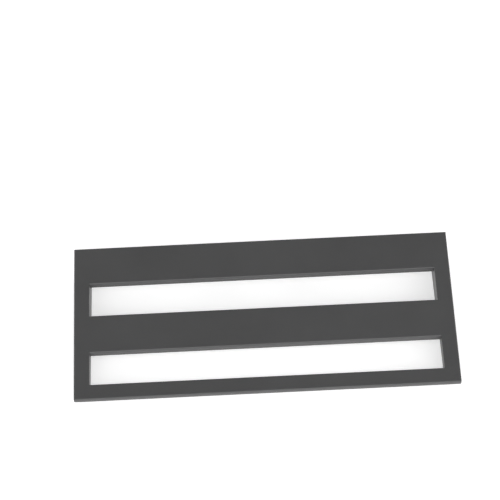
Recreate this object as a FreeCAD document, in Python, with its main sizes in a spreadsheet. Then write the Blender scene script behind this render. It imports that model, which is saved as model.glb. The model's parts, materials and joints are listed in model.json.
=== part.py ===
import FreeCAD, Part
import os
import re

import Sketcher

# Pedalboard: a low wedge of folded aluminium sheet that carries effect pedals, on four rubber feet.
#
# Frame of the whole part: +X to the player's right, +Y towards the rear, +Z up. The origin is on the floor,
# at the middle of the board. The deck is drawn flat in its own frame, whose origin is the middle of the
# deck's top face, and is then tipped about X so that its rear edge stands higher than its front edge.

# Driving dimensions, in millimetres and degrees.
DIMENSIONS = {
    "deck_width": 603,
    "rear_slat": 66.7,
    "rear_slot": 57,
    "middle_slat": 66.2,
    "front_slot": 55,
    "front_rail": 26,
    "side_strip": 24.5,
    "slope": 7,
    "front_height": 30,
    "sheet": 2,
    "bend_radius": 2.4,
    "front_lip": 8,
    "slat_flange": 11.5,
    "rear_flange": 11.5,
    "nose_run": 15,
    "corner_radius": 4,
    "rail_setback": 5,
    "rail_flange": 18,
    "rail_lip": 12,
    "rivet_height": 17,
    "rivet_first": -98,
    "rivet_spacing": 66,
    "rivet_hole": 3.3,
    "rivet_shank": 3.2,
    "rivet_head": 6.5,
    "rivet_dome": 1.1,
    "rivet_round": 0.8,
    "rivet_bulb": 4.8,
    "rivet_bulb_length": 4,
    "foot_height": 8,
    "foot_top": 18.5,
    "foot_bottom": 16,
    "foot_recess": 10,
    "foot_recess_depth": 4,
    "foot_round": 1.2,
    "foot_front": -98,
    "foot_rear": 112,
    "foot_inset": 11.25,
    "foot_hole": 4.4,
    "foot_washer": 9,
    "foot_washer_sheet": 0.8,
    "screw_shank": 4,
    "screw_head": 7.6,
    "screw_head_height": 2.4,
    "screw_head_round": 0.9,
    "screw_length": 12,
    "screw_cross": 4.2,
    "screw_cross_width": 0.9,
    "screw_cross_depth": 1.3,
    "nut_flats": 7,
    "nut_hex_height": 3.4,
    "nut_collar": 6.2,
    "nut_height": 5,
    "nut_bore": 4.1,
    "stud_middle": 122,
    "stud_from_rear": 26,
    "stud_spacing": 30,
    "stud_shaft": 5,
    "stud_length": 17,
    "stud_base": 6.5,
    "stud_base_height": 0.8,
    "stud_chamfer": 0.6,
    "bracket_travel": 20,
    "bracket_length": 42,
    "bracket_wall": 52,
    "bracket_flange_end": 46.5,
    "bracket_shelf": 18,
    "bracket_drop": 44,
    "bracket_slot": 7.2,
    "bracket_corner": 5,
    "tie_slot_width": 4,
    "tie_slot_length": 12,
    "tie_slot_spacing": 20,
    "tie_slot_drop": 24,
    "shelf_pad_width": 14,
    "shelf_pad_length": 38,
    "shelf_pad_thickness": 2,
    "shelf_pad_corner": 2,
    "clamp_washer": 15,
    "clamp_washer_hole": 5.3,
    "clamp_washer_sheet": 1.2,
    "wing_bore": 5.1,
    "wing_base": 13,
    "wing_hub_top": 9.2,
    "wing_hub_height": 7.5,
    "wing_span": 26,
    "wing_height": 13,
    "wing_thickness": 2.2,
    "wing_round": 1.8,
}

RIVETS_PER_SIDE = 4
FAR = 400                  # longer than any cut has to reach
TOUCHING = 1e-6            # points closer than this are one point
SIDES = {"left": -1, "right": 1}
WING_NUT_TURNS = {"left_outer": 25, "left_inner": -40, "right_inner": 65, "right_outer": -15}

# Places that follow from the driving dimensions.
DECK_DEPTH = "(rear_slat + rear_slot + middle_slat + front_slot + front_rail)"
HALF_DEPTH = f"({DECK_DEPTH} / 2)"
HALF_WIDTH = "(deck_width / 2)"
SLOT_END = "(deck_width / 2 - side_strip)"
CENTRE_Y = "((bend_radius * (1 - cos(slope) - sin(slope)) - rear_flange * sin(slope)) / 2)"
CENTRE_Z = f"(front_height + {HALF_DEPTH} * sin(slope))"
DECK_FRAME = f"placement(vector(0; {CENTRE_Y}; {CENTRE_Z}); rotationx(slope))"
LEVEL_IN_DECK = ("placement(vector(0; 0; 0); rotationz(-slope))"
                 f" * placement(vector(-{CENTRE_Y}; -{CENTRE_Z}; 0); rotationz(0))")
DECK_SECTION_IN_LEVEL = f"placement(vector(0; {CENTRE_Z}; -{CENTRE_Y}); rotationx(slope))"
STUD_Y = f"({HALF_DEPTH} - stud_from_rear)"

document = FreeCAD.newDocument("Pedalboard")
sheet = document.addObject("Spreadsheet::Sheet", "Sizes")
for row, (alias, value) in enumerate(DIMENSIONS.items(), start=1):
    sheet.set(f"A{row}", str(value))
    sheet.setAlias(f"A{row}", alias)
document.recompute()

ALIAS = re.compile(r"\b(" + "|".join(DIMENSIONS) + r")\b")


def bound(text):
    """Expression over the sheet's cells, from one written with their plain names."""
    return ALIAS.sub(r"Sizes.\1", str(text))


def size(text):
    """Number that an expression comes to."""
    return float(sheet.evalExpression(bound(text)))


def deck_y(along, above):
    """Level Y of a point given along the deck and above its top face."""
    return f"({CENTRE_Y} + ({along}) * cos(slope) - ({above}) * sin(slope))"


def deck_z(along, above):
    """Height of the same point."""
    return f"({CENTRE_Z} + ({along}) * sin(slope) + ({above}) * cos(slope))"


# Where the side walls' outline turns, seen from the side.
LIP_Y = deck_y(f"-{HALF_DEPTH}", "-front_lip")
LIP_Z = deck_z(f"-{HALF_DEPTH}", "-front_lip")
REAR_Y = deck_y(HALF_DEPTH, "-rear_flange")
REAR_Z = deck_z(HALF_DEPTH, "-rear_flange")


def new_body(label, placement=None):
    body = document.addObject("PartDesign::Body", label)
    body.Label = label
    if placement:
        body.setExpression("Placement", bound(placement))
    return body


def origin_feature(body, role):
    return next(item for item in body.Origin.OriginFeatures if item.Role == role)


def new_sketch(body, plane, name, offset=None):
    """Sketch on one of the body's own origin planes, moved by an offset placement."""
    sketch = body.newObject("Sketcher::SketchObject", name)
    sketch.AttachmentSupport = [(origin_feature(body, plane + "_Plane"), "")]
    sketch.MapMode = "FlatFace"
    if offset:
        sketch.setExpression("AttachmentOffset", bound(offset))
    return sketch


def lifted(distance):
    """Offset that moves a sketch along its own normal."""
    return f"placement(vector(0; 0; {distance}); rotationz(0))"


def constrain(sketch, expression, *constraint):
    """Add a dimension to the sketch and bind it to the sheet."""
    index = sketch.addConstraint(Sketcher.Constraint(*constraint, size(expression)))
    sketch.setExpression(f"Constraints[{index}]", bound(expression))


def pin(sketch, geometry, point, x, y):
    """Fix a point of the sketch at x, y from the sketch's origin."""
    constrain(sketch, x, "DistanceX", -1, 1, geometry, point)
    constrain(sketch, y, "DistanceY", -1, 1, geometry, point)


def outline(sketch, corners):
    """Closed outline through corners (x, y, radius). The sides that meet in a radius run along X and Y."""
    points = [FreeCAD.Vector(size(x), size(y), 0) for x, y, radius in corners]
    ends = []
    for index, (x, y, radius) in enumerate(corners):
        ways = [(neighbour - points[index]).normalize()
                for neighbour in (points[index - 1], points[(index + 1) % len(points)])]
        reach = size(radius)
        ends.append({
            "before": points[index] + ways[0] * reach,
            "after": points[index] + ways[1] * reach,
            "centre": points[index] + (ways[0] + ways[1]) * reach,
            "pins": [(f"({x}) + {round(way.x)} * ({radius})", f"({y}) + {round(way.y)} * ({radius})")
                     if reach else (x, y) for way in ways],
        })
    run = []     # each line or arc with its first point, its last point and where its first point is pinned
    for index, (x, y, radius) in enumerate(corners):
        end = ends[index]
        following = ends[(index + 1) % len(ends)]
        if size(radius):
            first = end["before"] - end["centre"]
            second = end["after"] - end["centre"]
            anticlockwise = first.cross(second).z > 0
            start, stop = (first, second) if anticlockwise else (second, first)
            angles = [FreeCAD.Vector(1, 0, 0).getAngle(way) * (1 if way.y >= 0 else -1)
                      for way in (start, stop)]
            corner_circle = Part.Circle(end["centre"], FreeCAD.Vector(0, 0, 1), size(radius))
            arc = sketch.addGeometry(Part.ArcOfCircle(corner_circle, angles[0], angles[1]), False)
            constrain(sketch, radius, "Radius", arc)
            run.append((arc, 1, 2, end["pins"][0]) if anticlockwise else (arc, 2, 1, end["pins"][0]))
        if (following["before"] - end["after"]).Length > TOUCHING:
            side = sketch.addGeometry(Part.LineSegment(end["after"], following["before"]), False)
            run.append((side, 1, 2, end["pins"][1]))
    for index, (geometry, first_point, last_point, place) in enumerate(run):
        before = run[index - 1]
        sketch.addConstraint(Sketcher.Constraint("Coincident", before[0], before[2], geometry, first_point))
        pin(sketch, geometry, first_point, *place)


def rectangle(sketch, low_x, low_y, high_x, high_y, radius="0"):
    outline(sketch, [(low_x, low_y, radius), (high_x, low_y, radius),
                     (high_x, high_y, radius), (low_x, high_y, radius)])


def circle(sketch, x, y, diameter):
    centre = FreeCAD.Vector(size(x), size(y), 0)
    geometry = sketch.addGeometry(Part.Circle(centre, FreeCAD.Vector(0, 0, 1), size(diameter) / 2), False)
    pin(sketch, geometry, 3, x, y)
    constrain(sketch, diameter, "Diameter", geometry)


def slot_hole(sketch, low_x, high_x, y, width):
    """Long hole with round ends, along the sketch's X, between its two end centres."""
    half = size(width) / 2
    middle = size(y)
    right = FreeCAD.Vector(size(high_x), middle, 0)
    left = FreeCAD.Vector(size(low_x), middle, 0)
    up = FreeCAD.Vector(0, half, 0)
    quarter = FreeCAD.Vector(0, 1, 0).getAngle(FreeCAD.Vector(1, 0, 0))
    right_circle = Part.Circle(right, FreeCAD.Vector(0, 0, 1), half)
    left_circle = Part.Circle(left, FreeCAD.Vector(0, 0, 1), half)
    bottom = sketch.addGeometry(Part.LineSegment(left - up, right - up), False)
    top = sketch.addGeometry(Part.LineSegment(right + up, left + up), False)
    right_end = sketch.addGeometry(Part.ArcOfCircle(right_circle, -quarter, quarter), False)
    left_end = sketch.addGeometry(Part.ArcOfCircle(left_circle, quarter, 3 * quarter), False)
    for one, one_end, other, other_end in ((bottom, 2, right_end, 1), (right_end, 2, top, 1),
                                           (top, 2, left_end, 1), (left_end, 2, bottom, 1)):
        sketch.addConstraint(Sketcher.Constraint("Coincident", one, one_end, other, other_end))
    for end, x in ((right_end, high_x), (left_end, low_x)):
        pin(sketch, end, 3, x, y)
        constrain(sketch, x, "DistanceX", -1, 1, end, 1)
        constrain(sketch, x, "DistanceX", -1, 1, end, 2)
        constrain(sketch, f"({width}) / 2", "Radius", end)


def fold(sketch, edge, sense, drop, top="0", reach="bend_radius"):
    """Section of a sheet edge folded down: the bend, its flange of the given drop and a flat leg inwards.

    edge is where the flange's outer face stands, and sense (1 or -1) is the way to the sheet from there."""
    outline(sketch, [
        (edge, f"({top}) - ({drop})", "0"),
        (edge, top, "bend_radius"),
        (f"({edge}) + {sense} * ({reach})", top, "0"),
        (f"({edge}) + {sense} * ({reach})", f"({top}) - sheet", "0"),
        (f"({edge}) + {sense} * sheet", f"({top}) - sheet", "bend_radius - sheet"),
        (f"({edge}) + {sense} * sheet", f"({top}) - ({drop})", "0"),
    ])


def extrude(kind, body, sketch, length, symmetric=False, reverse=False, other_length=None):
    feature = body.newObject("PartDesign::" + kind, sketch.Name + "_" + kind.lower())
    feature.Profile = sketch
    feature.setExpression("Length", bound(length))
    if symmetric:
        feature.SideType = "Symmetric"
    if other_length:
        feature.SideType = "Two sides"
        feature.setExpression("Length2", bound(other_length))
    feature.Reversed = reverse
    sketch.Visibility = False
    return feature


def pad(*arguments, **options):
    return extrude("Pad", *arguments, **options)


def pocket(*arguments, **options):
    return extrude("Pocket", *arguments, **options)


def revolve(body, sketch, angle=360, reverse=False):
    feature = body.newObject("PartDesign::Revolution", sketch.Name + "_revolution")
    feature.Profile = sketch
    feature.ReferenceAxis = (sketch, ["V_Axis"])
    feature.Angle = angle
    feature.Reversed = reverse
    return feature


def dress(kind, body, base, amount, chosen):
    """Fillet or chamfer on the edges of the base feature for which chosen(edge) is true."""
    document.recompute()
    names = [f"Edge{number}" for number, edge in enumerate(base.Shape.Edges, start=1) if chosen(edge)]
    feature = body.newObject("PartDesign::" + kind, body.Name + "_" + kind.lower())
    feature.Base = (base, names)
    feature.setExpression("Radius" if kind == "Fillet" else "Size", bound(amount))
    return feature


def runs_along(edge, axis):
    """True for a straight edge along X, Y or Z."""
    if edge.Degenerated or len(edge.Vertexes) < 2:
        return False
    way = edge.Vertexes[1].Point - edge.Vertexes[0].Point
    straight = abs(way.Length - edge.Length) < TOUCHING
    return straight and abs(abs(getattr(way, axis)) - way.Length) < TOUCHING


def near(value, expression):
    return abs(value - size(expression)) < 1e-3


def is_circle(edge, diameter):
    if edge.Degenerated or edge.Curve.TypeId != "Part::GeomCircle":
        return False
    return near(edge.Curve.Radius, f"({diameter}) / 2")


def repeat(body, originals, axis, spacing, count, second_axis=None, second_spacing=None):
    """Row, or two rows, of the same small piece as separate solids of one body."""
    pattern = body.newObject("PartDesign::LinearPattern", body.Name + "_row")
    pattern.Originals = originals
    pattern.Direction = (origin_feature(body, axis + "_Axis"), [""])
    pattern.setExpression("Length", bound(f"({spacing}) * {count - 1}"))
    pattern.Occurrences = count
    if second_axis:
        pattern.Direction2 = (origin_feature(body, second_axis + "_Axis"), [""])
        pattern.setExpression("Length2", bound(second_spacing))
        pattern.Occurrences2 = 2
    body.Tip = pattern
    return pattern


def trim_bends(body, sketch, edges, *arguments, **options):
    """Cut away what stands outside the bend at each edge, given as its place and the way outwards."""
    for edge, way in edges:
        beyond = f"({edge} + {way * FAR})"
        inside = f"({edge} - {way * 2} * bend_radius)"
        outline(sketch, [
            (edge, "-2 * bend_radius", "0"),
            (beyond, "-2 * bend_radius", "0"),
            (beyond, f"{FAR}", "0"),
            (inside, f"{FAR}", "0"),
            (inside, "0", "0"),
            (edge, "0", "bend_radius"),
        ])
    return pocket(body, sketch, *arguments, **options)


def build_deck():
    """The folded top: a flat sheet with two slots, folded long edges and wedge-shaped side walls."""
    body = new_body("deck_panel", DECK_FRAME)
    edges = [HALF_DEPTH]
    for width in ("rear_slat", "rear_slot", "middle_slat", "front_slot"):
        edges.append(f"({edges[-1]} - {width})")
    rear, slat_front, slat_rear, second_front, rail_rear = edges

    flat = new_sketch(body, "XY", "flat_sheet")
    inner_x = f"({HALF_WIDTH} - bend_radius)"
    inner_y = f"({HALF_DEPTH} - bend_radius)"
    rectangle(flat, f"-{inner_x}", f"-{inner_y}", inner_x, inner_y)
    for high, low in ((slat_front, slat_rear), (second_front, rail_rear)):
        rectangle(flat, f"-{SLOT_END}", f"{low} - bend_radius", SLOT_END, f"{high} + bend_radius")
    pad(body, flat, "sheet", reverse=True)

    slot_edges = new_sketch(body, "YZ", "slot_edges")
    fold(slot_edges, slat_front, 1, "slat_flange")
    fold(slot_edges, slat_rear, -1, "slat_flange")
    fold(slot_edges, second_front, 1, "slat_flange")
    fold(slot_edges, rail_rear, -1, "front_lip")
    pad(body, slot_edges, f"2 * {SLOT_END}", symmetric=True)

    front_edge = new_sketch(body, "YZ", "front_edge")
    fold(front_edge, f"-{HALF_DEPTH}", 1, "front_lip")
    pad(body, front_edge, f"2 * {inner_x}", symmetric=True)

    rear_edge = new_sketch(body, "YZ", "rear_edge")
    fold(rear_edge, rear, -1, "rear_flange")
    pad(body, rear_edge, "deck_width", symmetric=True)

    wall_drop = f"({CENTRE_Z} + {DECK_DEPTH} * sin(slope))"
    side_walls = new_sketch(body, "XZ", "side_walls")
    for side in SIDES.values():
        fold(side_walls, f"{side} * {HALF_WIDTH}", -side, wall_drop)
    pad(body, side_walls, inner_y, other_length=HALF_DEPTH)

    for name, side in SIDES.items():
        corner = new_sketch(body, "XZ", name + "_front_corner",
                            f"placement(vector({side} * {inner_x}; 0; {inner_y}); rotationz(0))")
        fold(corner, f"{side} * bend_radius", -side, wall_drop)
        revolve(body, corner, angle=90, reverse=side > 0)

    below = new_sketch(body, "YZ", "below_outline", LEVEL_IN_DECK)
    outline(below, [
        (LIP_Y, LIP_Z, "0"),
        (f"{LIP_Y} + nose_run", "foot_height", "0"),
        (REAR_Y, "foot_height", "0"),
        (REAR_Y, REAR_Z, "0"),
        (f"{REAR_Y} + {FAR}", REAR_Z, "0"),
        (f"{REAR_Y} + {FAR}", f"-{FAR}", "0"),
        (f"{LIP_Y} - {FAR}", f"-{FAR}", "0"),
        (f"{LIP_Y} - {FAR}", LIP_Z, "0"),
    ])
    pocket(body, below, "2 * deck_width", symmetric=True)

    side_bends = new_sketch(body, "XZ", "outside_side_bends", lifted(f"-{inner_y}"))
    side_edges = [(f"{side} * {HALF_WIDTH}", side) for side in SIDES.values()]
    trim_bends(body, side_bends, side_edges, "2 * bend_radius")
    rear_bend = new_sketch(body, "YZ", "outside_rear_bend")
    trimmed = trim_bends(body, rear_bend, [(rear, 1)], "2 * deck_width", symmetric=True)

    def bottom_corner(edge):
        """Across the sheet of a side wall, at an end of the wall's bottom edge."""
        if not runs_along(edge, "x"):
            return False
        level = body.Placement.multVec(edge.Vertexes[0].Point)
        return near(level.z, "foot_height")

    dress("Fillet", body, trimmed, "corner_radius", bottom_corner)
    document.recompute()

    holes = new_sketch(body, "YZ", "rivet_holes", LEVEL_IN_DECK)
    for number in range(RIVETS_PER_SIDE):
        circle(holes, f"rivet_first + {number} * rivet_spacing", "rivet_height", "rivet_hole")
    pocket(body, holes, "2 * deck_width", symmetric=True)
    return [body]


def build_side_rail(name, side):
    """Channel under a side strip. Its inner wall closes the slots' ends, and its floor carries the feet."""
    body = new_body(name + "_side_rail",
                    f"placement(vector({side} * {SLOT_END}; 0; 0); rotationz(0))")
    channel = "(side_strip - sheet)"
    under_deck = "-(sheet + bend_radius)"

    wall = new_sketch(body, "YZ", name + "_rail_wall")
    outline(wall, [
        (deck_y(f"-{HALF_DEPTH}", under_deck), deck_z(f"-{HALF_DEPTH}", under_deck), "0"),
        (LIP_Y, "foot_height + bend_radius", "0"),
        (REAR_Y, "foot_height + bend_radius", "0"),
        (deck_y(HALF_DEPTH, under_deck), deck_z(HALF_DEPTH, under_deck), "0"),
    ])
    pad(body, wall, "sheet", reverse=side < 0)

    top = new_sketch(body, "XZ", name + "_rail_top", DECK_SECTION_IN_LEVEL)
    fold(top, "0", side, "bend_radius + sheet / 4", top="-sheet", reach="rail_flange")
    pad(body, top, DECK_DEPTH, symmetric=True)

    floor = new_sketch(body, "XZ", name + "_rail_floor")
    lip_face = f"{side} * {channel}"
    wall_top = "foot_height + bend_radius + sheet / 4"
    outline(floor, [
        ("0", wall_top, "0"),
        ("0", "foot_height", "bend_radius"),
        (lip_face, "foot_height", "bend_radius"),
        (lip_face, "foot_height + rail_lip", "0"),
        (f"{lip_face} - {side} * sheet", "foot_height + rail_lip", "0"),
        (f"{lip_face} - {side} * sheet", "foot_height + sheet", "bend_radius - sheet"),
        (f"{side} * sheet", "foot_height + sheet", "bend_radius - sheet"),
        (f"{side} * sheet", wall_top, "0"),
    ])
    pad(body, floor, DECK_DEPTH, symmetric=True)

    ends = new_sketch(body, "YZ", name + "_rail_ends")
    nose = f"({LIP_Y} + rail_setback)"
    tail = f"({REAR_Y} - rail_setback)"
    outline(ends, [
        (nose, f"{FAR}", "0"),
        (nose, LIP_Z, "0"),
        (f"{nose} + nose_run", "foot_height", "0"),
        (f"{nose} + nose_run", f"-{FAR}", "0"),
        (f"{nose} - {FAR}", f"-{FAR}", "0"),
        (f"{nose} - {FAR}", f"{FAR}", "0"),
    ])
    rectangle(ends, tail, f"-{FAR}", f"{tail} + {FAR}", f"{FAR}")
    pocket(body, ends, "4 * side_strip", symmetric=True)

    foot_holes = new_sketch(body, "XY", name + "_foot_holes")
    for place in ("foot_front", "foot_rear"):
        circle(foot_holes, f"{side} * foot_inset", place, "foot_hole")
    pocket(body, foot_holes, "2 * (foot_height + 2 * sheet)", symmetric=True)

    lip_middle = f"{side} * ({channel} - sheet / 2)"
    rivet_holes = new_sketch(body, "YZ", name + "_lip_holes", lifted(lip_middle))
    for number in range(RIVETS_PER_SIDE):
        circle(rivet_holes, f"rivet_first + {number} * rivet_spacing", "rivet_height", "rivet_hole")
    pocket(body, rivet_holes, "2 * sheet", symmetric=True)
    return [body]


def build_side_rivets(name, side):
    """Blind rivets through the side wall and the rail's lip: a domed head outside, a bulb inside."""
    body = new_body(name + "_side_rivets",
                    f"placement(vector({side} * {HALF_WIDTH}; rivet_first; rivet_height);"
                    f" rotationy({side} * 90))")
    grip = "(2 * sheet)"
    section = new_sketch(body, "XZ", name + "_rivet_section")
    outline(section, [
        ("0", f"-({grip} + rivet_bulb_length)", "0"),
        ("rivet_shank / 2", f"-({grip} + rivet_bulb_length)", "0"),
        ("rivet_bulb / 2", f"-({grip} + rivet_bulb_length * 0.7)", "0"),
        ("rivet_bulb / 2", f"-({grip} + rivet_bulb_length * 0.2)", "0"),
        ("rivet_shank / 2", f"-{grip}", "0"),
        ("rivet_shank / 2", "0", "0"),
        ("rivet_head / 2", "0", "0"),
        ("rivet_head / 2", "rivet_dome", "0"),
        ("rivet_shank / 4", "rivet_dome", "0"),
        ("rivet_shank / 4", "rivet_dome / 3", "0"),
        ("0", "rivet_dome / 3", "0"),
    ])
    turned = revolve(body, section)

    def dome_edge(edge):
        return is_circle(edge, "rivet_head") and near(edge.Curve.Center.z, "rivet_dome")

    domed = dress("Fillet", body, turned, "rivet_round", dome_edge)
    repeat(body, [turned, domed], "Y", "rivet_spacing", RIVETS_PER_SIDE)
    return [body]


def build_foot(name, side, place):
    """Tapered rubber foot with a recess that hides its washer and screw head."""
    body = new_body(name,
                    f"placement(vector({side} * ({SLOT_END} + foot_inset); {place}; 0); rotationz(0))")
    section = new_sketch(body, "XZ", name + "_section")
    outline(section, [
        ("foot_hole / 2", "foot_recess_depth", "0"),
        ("foot_recess / 2", "foot_recess_depth", "0"),
        ("foot_recess / 2", "0", "0"),
        ("foot_bottom / 2", "0", "0"),
        ("foot_top / 2", "foot_height", "0"),
        ("foot_hole / 2", "foot_height", "0"),
    ])
    turned = revolve(body, section)
    dress("Fillet", body, turned, "foot_round", lambda edge: is_circle(edge, "foot_bottom"))
    return [body]


def at_each_foot(label):
    """Body whose first piece is at the front left foot, for a group of four."""
    return new_body(label, f"placement(vector(-({SLOT_END} + foot_inset); foot_front; 0); rotationz(0))")


def repeat_at_feet(body, originals):
    repeat(body, originals, "X", f"2 * ({SLOT_END} + foot_inset)", 2, "Y", "foot_rear - foot_front")


def build_foot_washers():
    body = at_each_foot("foot_washers")
    ring = new_sketch(body, "XY", "foot_washer_ring", lifted("foot_recess_depth - foot_washer_sheet"))
    circle(ring, "0", "0", "foot_washer")
    circle(ring, "0", "0", "foot_hole")
    repeat_at_feet(body, [pad(body, ring, "foot_washer_sheet")])
    return [body]


def build_foot_screws():
    """Pan-head machine screws with a cross recess, pointing up."""
    body = at_each_foot("foot_screws")
    head_top = "(foot_recess_depth - foot_washer_sheet)"
    head_face = f"({head_top} - screw_head_height)"
    section = new_sketch(body, "XZ", "foot_screw_section")
    outline(section, [
        ("0", head_face, "0"),
        ("screw_head / 2", head_face, "screw_head_round"),
        ("screw_head / 2", head_top, "0"),
        ("screw_shank / 2", head_top, "0"),
        ("screw_shank / 2", f"{head_top} + screw_length", "0"),
        ("0", f"{head_top} + screw_length", "0"),
    ])
    turned = revolve(body, section)
    cross = new_sketch(body, "XY", "foot_screw_cross", lifted(head_face))
    long_half = "screw_cross / 2"
    short_half = "screw_cross_width / 2"
    outline(cross, [(f"{x_sign} * {x}", f"{y_sign} * {y}", "0") for x_sign, x, y_sign, y in (
        (1, long_half, -1, short_half), (1, long_half, 1, short_half), (1, short_half, 1, short_half),
        (1, short_half, 1, long_half), (-1, short_half, 1, long_half), (-1, short_half, 1, short_half),
        (-1, long_half, 1, short_half), (-1, long_half, -1, short_half), (-1, short_half, -1, short_half),
        (-1, short_half, -1, long_half), (1, short_half, -1, long_half), (1, short_half, -1, short_half))])
    recess = pocket(body, cross, "screw_cross_depth", reverse=True)
    repeat_at_feet(body, [turned, recess])
    return [body]


def build_foot_nuts():
    """Hexagonal lock nuts with a round collar, on the rail's floor."""
    body = at_each_foot("foot_nuts")
    seat = "(foot_height + sheet)"
    hexagon = new_sketch(body, "XY", "foot_nut_hexagon", lifted(seat))
    reach = "nut_flats / sqrt(3)"
    outline(hexagon, [(f"{reach} * cos({60 * step})", f"{reach} * sin({60 * step})", "0")
                      for step in range(6)])
    blank = pad(body, hexagon, "nut_hex_height")
    collar = new_sketch(body, "XY", "foot_nut_collar", lifted(seat))
    circle(collar, "0", "0", "nut_collar")
    raised = pad(body, collar, "nut_height")
    bore = new_sketch(body, "XY", "foot_nut_bore", lifted(seat))
    circle(bore, "0", "0", "nut_bore")
    drilled = pocket(body, bore, "nut_height", reverse=True)
    repeat_at_feet(body, [blank, raised, drilled])
    return [body]


def under_slat(x, below):
    """Placement on the rear slat's underside with +Z pointing down, on the line of the weld studs."""
    return f"{DECK_FRAME} * placement(vector({x}; {STUD_Y}; -({below})); rotationx(180))"


def build_studs(name, side):
    """Two threaded studs welded to the slat's underside."""
    body = new_body(name + "_bracket_studs",
                    under_slat(f"{side} * stud_middle - stud_spacing / 2", "sheet"))
    section = new_sketch(body, "XZ", name + "_stud_section")
    outline(section, [
        ("0", "0", "0"),
        ("stud_base / 2", "0", "0"),
        ("stud_base / 2", "stud_base_height", "0"),
        ("stud_shaft / 2", "stud_base_height", "0"),
        ("stud_shaft / 2", "stud_length - stud_chamfer", "0"),
        ("stud_shaft / 2 - stud_chamfer", "stud_length", "0"),
        ("0", "stud_length", "0"),
    ])
    repeat(body, [revolve(body, section)], "X", "stud_spacing", 2)
    return [body]


def build_bracket(name, side):
    """Sliding hanger: a slotted top flange, a wall and a shelf for the power supply, with its rubber pad."""
    body = new_body(name + "_supply_bracket", f"{DECK_FRAME} * placement(vector("
                    f"{side} * stud_middle; {STUD_Y}; -sheet); rotationz(0))")
    inner_face = f"{-side} * bracket_wall"
    outer_face = f"{-side} * (bracket_wall - sheet)"
    shelf_end = f"{-side} * (bracket_wall + bracket_shelf)"
    flange_end = f"{side} * bracket_flange_end"
    section = new_sketch(body, "XZ", name + "_bracket_section")
    outline(section, [
        (flange_end, "0", "0"),
        (flange_end, "-sheet", "0"),
        (outer_face, "-sheet", "bend_radius - sheet"),
        (outer_face, "-bracket_drop", "bend_radius"),
        (shelf_end, "-bracket_drop", "0"),
        (shelf_end, "-(bracket_drop - sheet)", "0"),
        (inner_face, "-(bracket_drop - sheet)", "bend_radius - sheet"),
        (inner_face, "0", "bend_radius"),
    ])
    folded = pad(body, section, "bracket_length", symmetric=True)

    def free_corner(edge):
        return runs_along(edge, "z") and (near(edge.CenterOfMass.x, shelf_end)
                                          or near(edge.CenterOfMass.x, flange_end))

    dress("Fillet", body, folded, "bracket_corner", free_corner)
    document.recompute()
    guide = new_sketch(body, "XY", name + "_bracket_guide")
    reach = "(stud_spacing / 2 + bracket_travel)"
    slot_hole(guide, f"-{reach}", reach, "0", "bracket_slot")
    pocket(body, guide, "4 * sheet", symmetric=True)
    wall_middle = f"{-side} * (bracket_wall - sheet / 2)"
    ties = new_sketch(body, "YZ", name + "_bracket_ties", lifted(wall_middle))
    half_tie = "(tie_slot_length - tie_slot_width) / 2"
    for sense in (-1, 1):
        middle = f"({sense} * tie_slot_spacing / 2)"
        slot_hole(ties, f"{middle} - {half_tie}", f"{middle} + {half_tie}", "-tie_slot_drop",
                  "tie_slot_width")
    pocket(body, ties, "2 * sheet", symmetric=True)

    pad_x = f"{side} * (stud_middle - bracket_wall - bracket_shelf / 2)"
    shelf_pad = new_body(name + "_shelf_pad",
                         f"{DECK_FRAME} * placement(vector({pad_x}; {STUD_Y}; -bracket_drop); rotationz(0))")
    shape = new_sketch(shelf_pad, "XY", name + "_shelf_pad_outline")
    rectangle(shape, "-shelf_pad_width / 2", "-shelf_pad_length / 2",
              "shelf_pad_width / 2", "shelf_pad_length / 2", "shelf_pad_corner")
    pad(shelf_pad, shape, "shelf_pad_thickness")
    return [body, shelf_pad]


def build_clamp_washers(name, side):
    """Two wide washers that bridge the bracket's slot."""
    body = new_body(name + "_clamp_washers",
                    under_slat(f"{side} * stud_middle - stud_spacing / 2", "2 * sheet"))
    ring = new_sketch(body, "XY", name + "_clamp_washer_ring")
    circle(ring, "0", "0", "clamp_washer")
    circle(ring, "0", "0", "clamp_washer_hole")
    repeat(body, [pad(body, ring, "clamp_washer_sheet")], "X", "stud_spacing", 2)
    return [body]


def build_wing_nut(place, side, sense):
    """Wing nut on a stud, turned by hand: a tapered hub and two rounded wings."""
    name = place + "_wing_nut"
    x = f"{side} * stud_middle + {sense} * {side} * stud_spacing / 2"
    body = new_body(name, under_slat(x, "2 * sheet + clamp_washer_sheet")
                    + f" * placement(vector(0; 0; 0); rotationz({WING_NUT_TURNS[place]}))")
    hub = new_sketch(body, "XZ", place + "_hub")
    outline(hub, [
        ("wing_bore / 2", "0", "0"),
        ("wing_base / 2", "0", "0"),
        ("wing_base / 2", "wing_hub_height / 5", "0"),
        ("wing_hub_top / 2", "wing_hub_height", "0"),
        ("wing_bore / 2", "wing_hub_height", "0"),
    ])
    revolve(body, hub)
    wings = new_sketch(body, "XZ", place + "_wings")
    tip = "wing_span / 2"
    for way in (-1, 1):
        outline(wings, [(f"{way} * {wing_x}", wing_z, "0") for wing_x, wing_z in (
            ("wing_hub_top * 0.35", "wing_hub_height / 5"),
            (f"({tip} * 0.62)", "wing_height * 0.22"),
            (f"({tip})", "wing_height * 0.6"),
            (f"({tip})", "wing_height * 0.92"),
            (f"({tip} * 0.76)", "wing_height"),
            ("wing_hub_top * 0.35", "wing_hub_height * 0.95"))])
    blades = pad(body, wings, "wing_thickness", symmetric=True)
    dress("Fillet", body, blades, "wing_round",
          lambda edge: runs_along(edge, "y") and abs(edge.CenterOfMass.x) > size("wing_base / 2 + 1"))
    return [body]


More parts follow.
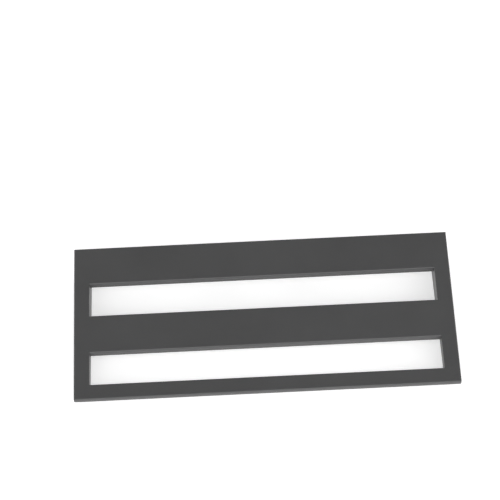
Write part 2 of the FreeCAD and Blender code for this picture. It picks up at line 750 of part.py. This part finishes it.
def build_all():
    pieces = build_deck()
    for name, side in SIDES.items():
        pieces += build_side_rail(name, side)
        pieces += build_side_rivets(name, side)
        for end in ("front", "rear"):
            pieces += build_foot(f"{end}_{name}_foot", side, f"foot_{end}")
    pieces += build_foot_washers() + build_foot_screws() + build_foot_nuts()
    for name, side in SIDES.items():
        pieces += build_studs(name, side)
        pieces += build_bracket(name, side)
        pieces += build_clamp_washers(name, side)
        pieces += build_wing_nut(name + "_inner", side, -1)
        pieces += build_wing_nut(name + "_outer", side, 1)
    return pieces


def check(pieces):
    """Stop if any feature failed, if a cut removed nothing or if a piece is not a sound solid."""
    for item in document.Objects:
        if "Invalid" in item.State or "Error" in item.State:
            raise RuntimeError(f"{item.Label} failed: {item.State}")
        if item.TypeId == "PartDesign::Pocket" and item.Shape.Volume > item.BaseFeature.Shape.Volume - 0.1:
            raise RuntimeError(f"{item.Label} cuts nothing")
    for piece in pieces:
        if piece.Shape.isNull() or not piece.Shape.isValid() or not piece.Shape.Solids:
            raise RuntimeError(f"{piece.Label} is not a sound solid")


pieces = build_all()
document.recompute()
check(pieces)
os.makedirs("parts", exist_ok=True)
for piece in pieces:
    piece.Shape.exportStep(f"parts/{piece.Label}.step")
    box = piece.Shape.BoundBox
    print(f"{piece.Label}: {len(piece.Shape.Solids)} solids, {piece.Shape.Volume:.0f} mm3,"
          f" x {box.XMin:.1f} {box.XMax:.1f}, y {box.YMin:.1f} {box.YMax:.1f},"
          f" z {box.ZMin:.1f} {box.ZMax:.1f}")
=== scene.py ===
import json
import math

import bmesh
import bpy
from mathutils import Matrix, Vector


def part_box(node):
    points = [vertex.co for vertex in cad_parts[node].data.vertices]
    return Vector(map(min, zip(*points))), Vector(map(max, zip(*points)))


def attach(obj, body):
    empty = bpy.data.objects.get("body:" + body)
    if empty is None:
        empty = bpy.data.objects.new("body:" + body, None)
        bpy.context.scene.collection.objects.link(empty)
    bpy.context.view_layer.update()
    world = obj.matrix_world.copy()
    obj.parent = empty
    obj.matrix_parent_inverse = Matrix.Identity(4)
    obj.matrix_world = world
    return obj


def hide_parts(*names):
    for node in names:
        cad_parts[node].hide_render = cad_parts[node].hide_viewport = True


# The looks of a pedalboard: coated folded sheet, rubber feet, and plated hardware on threaded studs.
# The sheet-metal nodes and plain fasteners stay as CAD made them and get a material. The pieces made here
# are turned, cast, moulded or threaded shapes that stand for plainer CAD ones. They are drawn in
# millimetres and scaled to metres when they are put in place.

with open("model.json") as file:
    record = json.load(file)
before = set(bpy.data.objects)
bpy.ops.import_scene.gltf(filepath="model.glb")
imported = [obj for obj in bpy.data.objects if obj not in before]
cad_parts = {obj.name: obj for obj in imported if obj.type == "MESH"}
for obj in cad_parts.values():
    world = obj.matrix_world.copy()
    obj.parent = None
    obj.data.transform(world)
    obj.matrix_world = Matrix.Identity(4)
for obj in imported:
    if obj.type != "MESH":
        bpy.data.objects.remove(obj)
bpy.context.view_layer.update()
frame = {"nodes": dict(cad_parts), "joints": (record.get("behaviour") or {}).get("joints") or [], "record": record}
NODES = frame["nodes"]
JOINTS = {joint["name"]: joint for joint in frame["joints"]}
MOUNTS = {mount["name"]: mount for mount in frame["record"]["mounts"]}

MM = 0.001
SIDES = {"left": -1, "right": 1}
NUT_PLACES = ("left_outer", "left_inner", "right_inner", "right_outer")
SLOPE = math.radians(7)

# Camera: where it looks on the rear slat, and how it stands to the board.
AIM_LEFT_OF_MIDDLE = 0.0168
AIM_FROM_REAR = 0.0184
CAMERA_DISTANCE = 3.0994
CAMERA_ELEVATION = 52.98
CAMERA_AZIMUTH = 0.16
CAMERA_ROLL = 2.62
LENS = 138.07

EDGE_ROUNDING = 0.35 * MM        # how far the coat and the plating round off sharp edges
ROUNDING_SAMPLES = 6
ON_AXIS = 1e-4                   # millimetres from a turned piece's axis that still count as on it
SAME_POINT = 1e-5                # millimetres between points that are joined into one

FLOOR_GLOW = 0.4
ROOM_LIGHT = 0.34


# ---------------------------------------------------------------- materials

class Surface:
    """A material built from nodes. Its patterns are fixed to the piece, so they move with it."""

    def __init__(self, name, metallic=0.0, ior=1.5):
        self.material = bpy.data.materials.new(name)
        self.material.use_nodes = True
        self.tree = self.material.node_tree
        self.shader = self.tree.nodes["Principled BSDF"]
        self.shader.inputs["Metallic"].default_value = metallic
        self.shader.inputs["IOR"].default_value = ior
        self.place = self.tree.nodes.new("ShaderNodeTexCoord").outputs["Object"]

    def link(self, output, target):
        self.tree.links.new(output, target)

    def noise(self, size, detail):
        """Soft blotches about this many metres across."""
        node = self.tree.nodes.new("ShaderNodeTexNoise")
        node.inputs["Scale"].default_value = 1 / size
        node.inputs["Detail"].default_value = detail
        self.link(self.place, node.inputs["Vector"])
        return node.outputs["Fac"]

    def grains(self, size):
        """Rounded grains about this many metres across, high in the middle."""
        node = self.tree.nodes.new("ShaderNodeTexVoronoi")
        node.feature = "SMOOTH_F1"
        node.inputs["Scale"].default_value = 1 / size
        self.link(self.place, node.inputs["Vector"])
        return node.outputs["Distance"]

    def spread(self, value, low, high, start=0.3, end=0.7):
        """The value's start..end, stretched to low..high."""
        node = self.tree.nodes.new("ShaderNodeMapRange")
        for name, number in (("From Min", start), ("From Max", end), ("To Min", low), ("To Max", high)):
            node.inputs[name].default_value = number
        self.link(value, node.inputs["Value"])
        return node.outputs["Result"]

    def maths(self, operation, one, other):
        node = self.tree.nodes.new("ShaderNodeMath")
        node.operation = operation
        for value, target in zip((one, other), node.inputs):
            if isinstance(value, (int, float)):
                target.default_value = value
            else:
                self.link(value, target)
        return node.outputs["Value"]

    def mixed(self, value, first, second):
        """Blend of two colours; each is an output or three numbers."""
        node = self.tree.nodes.new("ShaderNodeMix")
        node.data_type = "RGBA"
        self.link(value, node.inputs["Factor"])
        for colour, target in ((first, node.inputs["A"]), (second, node.inputs["B"])):
            if isinstance(colour, tuple):
                target.default_value = (*colour, 1)
            else:
                self.link(colour, target)
        return node.outputs["Result"]

    def rounding(self, reach):
        """The surface's direction, as if its sharp edges were rounded off over this many metres."""
        bevel = self.tree.nodes.new("ShaderNodeBevel")
        bevel.samples = ROUNDING_SAMPLES
        bevel.inputs["Radius"].default_value = reach
        return bevel.outputs["Normal"]

    def edges(self, reach):
        """1 on edges and corners, falling to 0 on flat stretches."""
        flat, edge = 0.988, 0.88     # cosine between the plain and the rounded direction
        geometry = self.tree.nodes.new("ShaderNodeNewGeometry")
        dot = self.tree.nodes.new("ShaderNodeVectorMath")
        dot.operation = "DOT_PRODUCT"
        self.link(self.rounding(reach), dot.inputs[0])
        self.link(geometry.outputs["Normal"], dot.inputs[1])
        return self.spread(dot.outputs["Value"], 0, 1, start=flat, end=edge)

    def bumps(self, *layers):
        """Layers of (value, height in metres) over the rounded edges, each on top of the one before."""
        below = self.rounding(EDGE_ROUNDING)
        for value, height in layers:
            node = self.tree.nodes.new("ShaderNodeBump")
            node.inputs["Distance"].default_value = height
            self.link(value, node.inputs["Height"])
            self.link(below, node.inputs["Normal"])
            below = node.outputs["Normal"]
        self.link(below, self.shader.inputs["Normal"])

    def finish(self, colour, roughness):
        self.link(colour, self.shader.inputs["Base Color"])
        self.link(roughness, self.shader.inputs["Roughness"])
        return self.material


def powder_coat(name, base, roughness):
    """Satin powder coat: fine grain over a faint orange peel, a little thinner and smoother along edges."""
    cloud_size, handled_size, patch_size, wear_size = 85 * MM, 50 * MM, 1.8 * MM, 12 * MM
    peel_size, peel_height = 4.5 * MM, 0.03 * MM
    grain_size, grain_height = 0.8 * MM, 0.022 * MM
    speckle_size, speckle_height = 0.6 * MM, 0.008 * MM
    dark, light, speckled, bare = (tuple(channel * factor for channel in base)
                                   for factor in (0.93, 1.06, 1.7, 2.6))
    surface = Surface(name, ior=1.48)
    cloud = surface.noise(cloud_size, detail=4)
    speckle = surface.noise(speckle_size, detail=1)
    wear = surface.spread(surface.noise(wear_size, detail=4), 0.25, 1)
    worn = surface.maths("MULTIPLY", surface.edges(0.9 * MM), wear)
    coat = surface.mixed(surface.spread(cloud, 0, 1), dark, light)
    coat = surface.mixed(surface.spread(speckle, 0, 0.22), coat, speckled)
    coat = surface.mixed(surface.maths("MULTIPLY", worn, 0.35), coat, bare)
    handled = surface.spread(surface.noise(handled_size, detail=5), roughness - 0.014, roughness + 0.02)
    patches = surface.spread(surface.noise(patch_size, detail=2), -0.015, 0.015)
    satin = surface.maths("ADD", handled, patches)
    surface.bumps((surface.noise(peel_size, detail=1), peel_height),
                  (surface.grains(grain_size), grain_height),
                  (speckle, speckle_height))
    return surface.finish(coat, surface.maths("SUBTRACT", satin, surface.maths("MULTIPLY", worn, 0.08)))


def rubber(name):
    """Matt moulded rubber with a faint bloom and fine pits."""
    black, bloomed, dust = (0.012, 0.012, 0.0125), (0.028, 0.027, 0.026), (0.06, 0.058, 0.055)
    surface = Surface(name, ior=1.45)
    bloom = surface.noise(4 * MM, detail=6)
    coat = surface.mixed(surface.spread(bloom, 0, 1), black, bloomed)
    dusty = surface.maths("MULTIPLY", surface.edges(0.8 * MM), surface.spread(bloom, 0.1, 0.6))
    coat = surface.mixed(dusty, coat, dust)
    surface.bumps((surface.noise(1.2 * MM, detail=3), 0.05 * MM),
                  (surface.noise(0.3 * MM, detail=2), 0.02 * MM))
    return surface.finish(coat, surface.spread(surface.noise(3 * MM, detail=4), 0.68, 0.88))


def zinc_plate(name):
    """Bright zinc with the faint blue and straw tints of its passivation."""
    blue, straw, grey = (0.56, 0.59, 0.63), (0.66, 0.63, 0.56), (0.38, 0.38, 0.38)
    surface = Surface(name, metallic=1)
    coat = surface.mixed(surface.spread(surface.noise(6 * MM, detail=3), 0, 1), blue, straw)
    coat = surface.mixed(surface.spread(surface.noise(1.5 * MM, detail=6), 0, 0.35), coat, grey)
    surface.bumps((surface.noise(2.2 * MM, detail=2), 0.03 * MM),
                  (surface.noise(0.35 * MM, detail=3), 0.012 * MM))
    return surface.finish(coat, surface.spread(surface.noise(2.5 * MM, detail=5), 0.26, 0.44))


def threaded_steel(name):
    """Steel studs with a thin film of oil in the thread."""
    oiled, bright = (0.42, 0.41, 0.40), (0.58, 0.57, 0.56)
    surface = Surface(name, metallic=1)
    film = surface.noise(1.8 * MM, detail=5)
    coat = surface.mixed(surface.spread(film, 0, 1), oiled, bright)
    surface.bumps((surface.noise(0.4 * MM, detail=3), 0.012 * MM))
    return surface.finish(coat, surface.spread(film, 0.24, 0.42))


def floor_material():
    """Pale sweep that glows a little, as a lit studio table does, so that shadows on it stay light."""
    darker, paler = (0.86, 0.86, 0.86), (0.875, 0.875, 0.875)
    surface = Surface("floor", ior=1.3)
    surface.shader.inputs["Emission Color"].default_value = (1, 1, 1, 1)
    surface.shader.inputs["Emission Strength"].default_value = FLOOR_GLOW
    cloud = surface.noise(400 * MM, detail=2)
    coat = surface.mixed(surface.spread(cloud, 0, 1), darker, paler)
    return surface.finish(coat, surface.spread(cloud, 0.85, 0.9))


MATERIALS = {
    "powder_coat": powder_coat("powder_coat", (0.043, 0.043, 0.0435), 0.43),
    "rivet_black": powder_coat("rivet_black", (0.028, 0.028, 0.028), 0.36),
    "rubber": rubber("rubber"),
    "zinc_plate": zinc_plate("zinc_plate"),
    "stud_steel": threaded_steel("stud_steel"),
}


# ---------------------------------------------------------------- making pieces

def rounded(corners, steps=5):
    """Points of a closed outline with corners (x, y, radius), each radius drawn as an arc."""
    points = []
    for index, (x, y, radius) in enumerate(corners):
        corner = Vector((x, y))
        if not radius:
            points.append(corner)
            continue
        before = (Vector(corners[index - 1][:2]) - corner).normalized()
        after = (Vector(corners[(index + 1) % len(corners)][:2]) - corner).normalized()
        half = before.angle(after) / 2
        centre = corner + (before + after).normalized() * radius / math.sin(half)
        start = corner + before * radius / math.tan(half) - centre
        end = corner + after * radius / math.tan(half) - centre
        turn = start.angle_signed(end)
        for step in range(steps + 1):
            angle = -turn * step / steps
            points.append(centre + Matrix.Rotation(angle, 2) @ start)
    return points


def turned(mesh, outline, segments=64):
    """Adds the solid that a closed outline (distance from axis, height) sweeps about Z."""
    rings = []
    for step in range(segments):
        angle = 2 * math.pi * step / segments
        rings.append([mesh.verts.new((point.x * math.cos(angle), point.x * math.sin(angle), point.y))
                      for point in outline])
    for step in range(segments):
        here, beyond = rings[step], rings[(step + 1) % segments]
        for index in range(len(outline)):
            following = (index + 1) % len(outline)
            if max(outline[index].x, outline[following].x) > ON_AXIS:
                mesh.faces.new((here[index], beyond[index], beyond[following], here[following]))
    bmesh.ops.remove_doubles(mesh, verts=mesh.verts, dist=SAME_POINT)


def skin(mesh, rings, closed=(0, -1)):
    """Adds the faces between each ring of points and the next, and one across each ring in closed."""
    for near, far in zip(rings, rings[1:]):
        for index in range(len(near)):
            following = (index + 1) % len(near)
            mesh.faces.new((near[index], near[following], far[following], far[index]))
    for end in closed:
        mesh.faces.new(rings[end])


def ring_about_z(mesh, height, reaches):
    """Adds a ring of points about Z at one height, each as far out as it is told."""
    turn = 2 * math.pi / len(reaches)
    return [mesh.verts.new((reach * math.cos(turn * step), reach * math.sin(turn * step), height))
            for step, reach in enumerate(reaches)]


def slab(mesh, outline, half_thickness):
    """Adds an outline in the XZ plane as a plate of even thickness about that plane."""
    skin(mesh, [[mesh.verts.new((point.x, side * half_thickness, point.y)) for point in outline]
                for side in (-1, 1)])


def link_piece(name, mesh, place, body, slot_name):
    """Makes the object from a mesh drawn in millimetres, put where place says, riding on a body."""
    bmesh.ops.recalc_face_normals(mesh, faces=mesh.faces)
    if mesh.calc_volume(signed=True) < 0:
        bmesh.ops.reverse_faces(mesh, faces=mesh.faces)
    data = bpy.data.meshes.new(name)
    mesh.to_mesh(data)
    mesh.free()
    data.transform(place @ Matrix.Scale(MM, 4))
    for polygon in data.polygons:
        polygon.use_smooth = True
    data.materials.append(MATERIALS[slot_name])
    piece = bpy.data.objects.new(name, data)
    bpy.context.scene.collection.objects.link(piece)
    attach(piece, body)
    return piece


def apply_modifiers(piece):
    """Bakes the piece's modifiers into its mesh."""
    graph = bpy.context.evaluated_depsgraph_get()
    data = bpy.data.meshes.new_from_object(piece.evaluated_get(graph))
    piece.modifiers.clear()
    piece.data = data


# ---------------------------------------------------------------- pieces

def nut_axis(place):
    """A wing nut's place, from its joint: origin at its base, +X along its wings, +Z down the stud."""
    joint = JOINTS[place + "_wing_nut_turn"]
    origin, down = Vector(joint["pos_m"]), Vector(joint["axis"]).normalized()
    farthest = max((vertex.co - origin for vertex in NODES[place + "_wing_nut"].data.vertices),
                   key=lambda arm: (arm - down * arm.dot(down)).length)
    along = (farthest - down * farthest.dot(down)).normalized()
    across = down.cross(along)
    turn = Matrix((along, across, down)).transposed().to_4x4()
    return Matrix.Translation(origin) @ turn


def make_wing_nut(place):
    """Cast wing nut: a waisted hub and two rounded ears that flow into it."""
    bore, base, neck, low, hub_height = 2.55, 6.3, 4.5, 0.1, 7.4
    root, tip, ear_top, ear_half_thickness = 3.2, 12.9, 12.9, 1.1
    mesh = bmesh.new()
    turned(mesh, rounded([(bore, low, 0.3), (base, low, 0.5), (base, 1.6, 0.5), (neck, 3.6, 1.5),
                          (neck, hub_height, 0.7), (bore, hub_height, 0.3)]), segments=96)
    for side in (-1, 1):
        ear = rounded([(side * x, z, radius) for x, z, radius in (
            (root, 1.9, 0), (7.2, 2.2, 3), (tip, 6.6, 3), (tip, ear_top, 3), (9.2, ear_top, 2.4),
            (6.6, 7.6, 3), (root, 7.0, 0))])
        slab(mesh, ear, ear_half_thickness)
    piece = link_piece(place + "_cast_wing_nut", mesh, nut_axis(place), place + "_wing_nut", "zinc_plate")
    fused = piece.modifiers.new("fused", "REMESH")
    fused.mode = "VOXEL"
    fused.voxel_size = 0.28 * MM
    fused.use_smooth_shade = True
    smooth = piece.modifiers.new("smooth", "SMOOTH")
    smooth.factor = 0.5
    smooth.iterations = 5
    apply_modifiers(piece)
    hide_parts(place + "_wing_nut")


def thread_radius(height, angle, outer, depth, pitch):
    """Distance from the axis to a 60 degree thread's surface, with flat crests and roots."""
    flat = 0.125
    phase = (height / pitch - angle / (2 * math.pi)) % 1
    ridge = abs(2 * phase - 1)
    return outer - depth * min(1, max(0, (ridge - flat) / (1 - 2 * flat)))


def add_placed(both, mesh, place):
    """Moves a mesh to its place and adds it to another one."""
    mesh.transform(place)
    part = bpy.data.meshes.new("part")
    mesh.to_mesh(part)
    both.from_mesh(part)
    mesh.free()
    bpy.data.meshes.remove(part)


def make_studs(name):
    """The two threaded studs under one side of the rear slat, with their weld flanges."""
    outer, depth, pitch = 2.47, 0.44, 0.8
    flange, flange_height, flange_edge, tip = 3.2, 0.8, 0.15, 0.7
    segments, steps_per_turn = 32, 8
    places = [nut_axis(f"{name}_{place}") for place in ("inner", "outer")]
    node = name + "_bracket_studs"
    origin, down = places[0].translation, places[0].col[2].to_3d()
    along = [(vertex.co - origin).dot(down) / MM for vertex in NODES[node].data.vertices]
    start, end = min(along), max(along)
    thread_start = start + flange_height
    rows = round((end - thread_start) / pitch * steps_per_turn)
    both = bmesh.new()
    for place in places:
        mesh = bmesh.new()
        rings = [ring_about_z(mesh, height, [reach] * segments) for height, reach in (
            (start, flange),
            (thread_start - flange_edge, flange),
            (thread_start, flange - flange_edge))]
        for row in range(rows + 1):
            height = thread_start + (end - thread_start) * row / rows
            limit = outer - max(0, tip - (end - height))
            rings.append(ring_about_z(mesh, height, [
                min(limit, thread_radius(height, 2 * math.pi * step / segments, outer, depth, pitch))
                for step in range(segments)]))
        skin(mesh, rings)
        add_placed(both, mesh, Matrix.Scale(1 / MM, 4) @ place @ Matrix.Scale(MM, 4))
    piece = link_piece(name + "_threaded_studs", both, Matrix.Identity(4), "board", "stud_steel")
    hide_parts(node)


def make_foot(name):
    """Moulded foot: a thin rim under the rail, a taper, and grip rings on the sole round the recess."""
    low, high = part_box(name)
    top, height = (high.x - low.x) / 2 / MM, (high.z - low.z) / MM
    sole, recess, recess_depth, recess_flare, hole = top - 1.25, 5, 4, 0.1, 2.2
    rim, rim_overhang, rim_slope = 1.1, 0.35, 0.25
    rings, first_ring, ring_pitch = 2, 0.7, 0.8
    ring_width, ring_depth, ring_slope = 0.4, 0.35, 0.1
    outline = [(hole, recess_depth, 0), (recess, recess_depth, 0.4), (recess + recess_flare, 0, 0.3)]
    for ring in range(rings):
        start = recess + first_ring + ring * ring_pitch
        outline += [(start, 0, 0), (start + ring_slope, ring_depth, 0),
                    (start + ring_width - ring_slope, ring_depth, 0), (start + ring_width, 0, 0)]
    outline += [(sole, 0, 0.9), (top - rim_overhang, height - rim - rim_slope, 0.2),
                (top, height - rim, 0.15), (top, height, 0.2), (hole, height, 0)]
    mesh = bmesh.new()
    turned(mesh, rounded(outline, steps=4), segments=80)
    middle = Matrix.Translation(((low.x + high.x) / 2, (low.y + high.y) / 2, low.z))
    piece = link_piece(name + "_moulded", mesh, middle, "board", "rubber")
    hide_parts(name)


def make_shelf_strip(name):
    """Rubber strip on the hanger's shelf, under the power supply: ribs along it and rounded corners."""
    width, length, thickness, corner = 14, 38, 2, 2
    ribs, rib_depth, rib_steps, corner_steps = 7, 0.45, 12, 6
    shelf = MOUNTS[name + "_shelf"]
    across, up = Vector((1, 0, 0)), Vector(shelf["axis"]).normalized()
    turn = Matrix((across, up.cross(across), up)).transposed().to_4x4()
    place = Matrix.Translation(Vector(shelf["pos_m"])) @ turn
    columns = {round(width * (step / (ribs * rib_steps) - 0.5), 3)
               for step in range(ribs * rib_steps + 1)}
    for step in range(1, corner_steps):
        reach = width / 2 - corner + corner * math.sin(math.pi / 2 * step / corner_steps)
        columns |= {round(reach, 3), round(-reach, 3)}
    mesh = bmesh.new()
    rings = []
    for x in sorted(columns):
        across_rib = (x / width + 0.5) * ribs % 1 * 2 - 1
        crest = -rib_depth * across_rib ** 4
        over = max(0, abs(x) - (width / 2 - corner))
        reach = length / 2 - corner + math.sqrt(corner ** 2 - over ** 2)
        rings.append([mesh.verts.new((x, y, z)) for y, z in (
            (-reach, -thickness), (reach, -thickness), (reach, crest), (-reach, crest))])
    skin(mesh, rings)
    piece = link_piece(name + "_ribbed_strip", mesh, place, name + "_bracket", "rubber")
    for polygon in piece.data.polygons:
        polygon.use_smooth = False
    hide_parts(name + "_shelf_pad")


def make_rivet_mandrels(name, side):
    """The snapped steel mandrels left in the blind rivets' heads."""
    count, radius, depth, tip = 4, 0.74, 0.6, 0.45
    break_radius, break_step, break_height = 0.3, 0.15, 0.2
    turn_to_turn = math.radians(40)
    low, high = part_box(name + "_side_rivets")
    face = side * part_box("deck_panel")[1].x
    head = (high.z - low.z) / 2
    both = bmesh.new()
    for number in range(count):
        y = low.y + head + (high.y - low.y - 2 * head) * number / (count - 1)
        place = (Matrix.Translation((face / MM, y / MM, (low.z + head) / MM))
                 @ Matrix.Rotation(side * math.pi / 2, 4, "Y")
                 @ Matrix.Rotation(number * turn_to_turn, 4, "Z"))
        mesh = bmesh.new()
        turned(mesh, rounded([(0, -depth, 0), (radius, -depth, 0), (radius, tip, 0.12),
                              (break_radius, tip + break_step, 0.1), (0, tip + break_height, 0)], steps=3),
               segments=20)
        add_placed(both, mesh, place)
    link_piece(name + "_rivet_mandrels", both, Matrix.Identity(4), "board", "stud_steel")


def finish_cad_nodes():
    """Gives each CAD node its material."""
    for part in frame["record"]["subparts"]:
        NODES[part["node"]].material_slots[0].material = MATERIALS[part["material_slot"]]


# ---------------------------------------------------------------- stage

def make_floor():
    """A round sweep: a flat floor that curves up into a wall far behind everything."""
    flat, bend, wall_top = 9, 3, 7
    segments, bend_steps = 96, 12
    profile = [(flat, 0)]
    for step in range(1, bend_steps + 1):
        angle = math.pi / 2 * step / bend_steps
        profile.append((flat + bend * math.sin(angle), bend * (1 - math.cos(angle))))
    profile.append((flat + bend, wall_top))
    sweep = bmesh.new()
    rings = [ring_about_z(sweep, height, [reach] * segments) for reach, height in profile]
    skin(sweep, rings[::-1], closed=(-1,))
    mesh = bpy.data.meshes.new("floor")
    sweep.to_mesh(mesh)
    sweep.free()
    mesh.materials.append(floor_material())
    floor = bpy.data.objects.new("floor", mesh)
    bpy.context.scene.collection.objects.link(floor)


def soft_light(name, place, width, height, power):
    """A softbox that faces the board and doesn't show itself."""
    data = bpy.data.lights.new(name, "AREA")
    data.shape = "RECTANGLE"
    data.size = width
    data.size_y = height
    data.energy = power
    light = bpy.data.objects.new(name, data)
    bpy.context.scene.collection.objects.link(light)
    light.location = place
    light.rotation_euler = (-Vector(place)).to_track_quat("-Z", "Y").to_euler()
    light.visible_camera = False


def make_lights():
    soft_light("front_softbox", place=(0.3, -2.46, 1.72), width=6, height=3.6, power=146)
    soft_light("left_fill", place=(-3, 0.3, 1.2), width=3, height=2, power=15)
    soft_light("right_fill", place=(3, 0.3, 1.2), width=3, height=2, power=15)
    soft_light("rear_fill", place=(0, 3, 1), width=5, height=1.6, power=28)
    world = bpy.data.worlds.new("studio")
    world.use_nodes = True
    background = world.node_tree.nodes["Background"]
    background.inputs["Color"].default_value = (1, 1, 1, 1)
    background.inputs["Strength"].default_value = ROOM_LIGHT
    bpy.context.scene.world = world
    bpy.context.scene.view_settings.view_transform = "Standard"


def make_camera():
    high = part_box("deck_panel")[1]
    aim = Vector((-AIM_LEFT_OF_MIDDLE, high.y - AIM_FROM_REAR, high.z - AIM_FROM_REAR * math.tan(SLOPE)))
    elevation, azimuth = math.radians(CAMERA_ELEVATION), math.radians(CAMERA_AZIMUTH)
    forward = Vector((math.sin(azimuth) * math.cos(elevation), math.cos(azimuth) * math.cos(elevation),
                      -math.sin(elevation)))
    data = bpy.data.cameras.new("camera")
    data.lens = LENS
    camera = bpy.data.objects.new("camera", data)
    bpy.context.scene.collection.objects.link(camera)
    turn = forward.to_track_quat("-Z", "Y").to_matrix().to_4x4()
    roll = Matrix.Rotation(-math.radians(CAMERA_ROLL), 4, "Z")
    camera.matrix_world = Matrix.Translation(aim - forward * CAMERA_DISTANCE) @ turn @ roll
    bpy.context.scene.camera = camera


make_camera()
make_lights()
make_floor()
for nut_place in NUT_PLACES:
    make_wing_nut(nut_place)
for side_name, side_sign in SIDES.items():
    make_studs(side_name)
    make_shelf_strip(side_name)
    make_rivet_mandrels(side_name, side_sign)
    for end_name in ("front", "rear"):
        make_foot(f"{end_name}_{side_name}_foot")
finish_cad_nodes()
